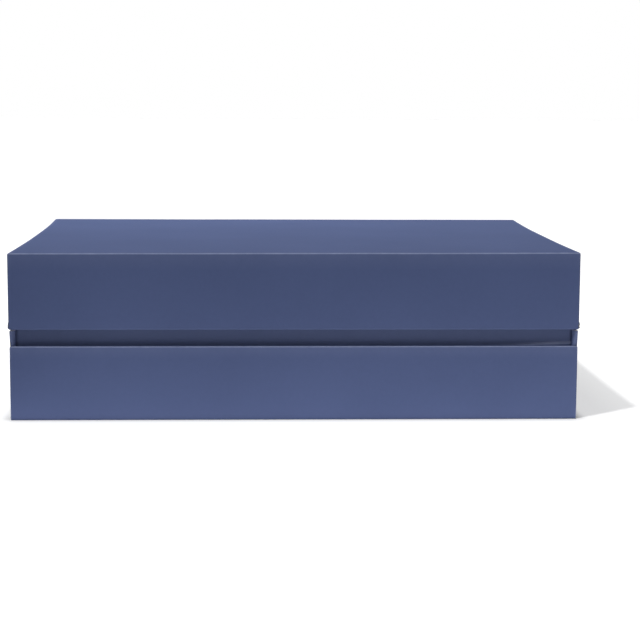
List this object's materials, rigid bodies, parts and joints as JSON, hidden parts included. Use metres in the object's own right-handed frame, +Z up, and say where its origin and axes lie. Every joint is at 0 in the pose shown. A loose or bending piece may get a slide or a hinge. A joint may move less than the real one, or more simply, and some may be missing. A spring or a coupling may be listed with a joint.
{
  "type": "clamshell document box",
  "caption": "Rigid paper-covered box for papers: two board trays hinged along the back, a neck that guides the lid, and a finger slot across the front.",
  "frame": {"origin": "on the table under the middle of the trays, on the underside of the bottom sheet", "axes": "+X to the right along the width, +Y from the front with the finger slot to the back with the hinge, +Z up"},
  "size_m": [0.34, 0.2688, 0.0998],
  "materials": {
    "cover_paper": "satin",
    "greyboard": "matte",
    "lining_paper": "matte",
    "tape_paper": "matte",
    "hinge_cloth": "matte"
  },
  "bodies": {
    "base": {"base_floor_board": "greyboard", "base_front_board": "greyboard", "base_back_board": "greyboard", "base_left_board": "greyboard", "base_right_board": "greyboard", "base_corner_stays": "tape_paper", "base_cover_paper": "cover_paper", "base_infill": "lining_paper", "base_bottom_sheet": "cover_paper", "base_floor_lining": "lining_paper", "base_back_lining": "lining_paper", "neck_front_board": "greyboard", "neck_left_board": "greyboard", "neck_right_board": "greyboard", "neck_cover_paper": "cover_paper", "neck_lining": "lining_paper", "hinge_cloth_base_leaf": "hinge_cloth", "hinge_strip_base_leaf": "hinge_cloth"},
    "lid": {"lid_top_board": "greyboard", "lid_front_board": "greyboard", "lid_back_board": "greyboard", "lid_left_board": "greyboard", "lid_right_board": "greyboard", "lid_corner_stays": "tape_paper", "lid_cover_paper": "cover_paper", "lid_top_lining": "lining_paper", "lid_wall_lining": "lining_paper", "hinge_cloth_lid_leaf": "hinge_cloth", "hinge_strip_lid_leaf": "hinge_cloth"}
  },
  "joints": [
    {"name": "lid_hinge", "type": "hinge", "parent": "base", "child": "lid", "pos_m": [0, 0.1345, 0.05415], "axis": [-1, 0, 0], "range_deg": [0, 179]}
  ]
}
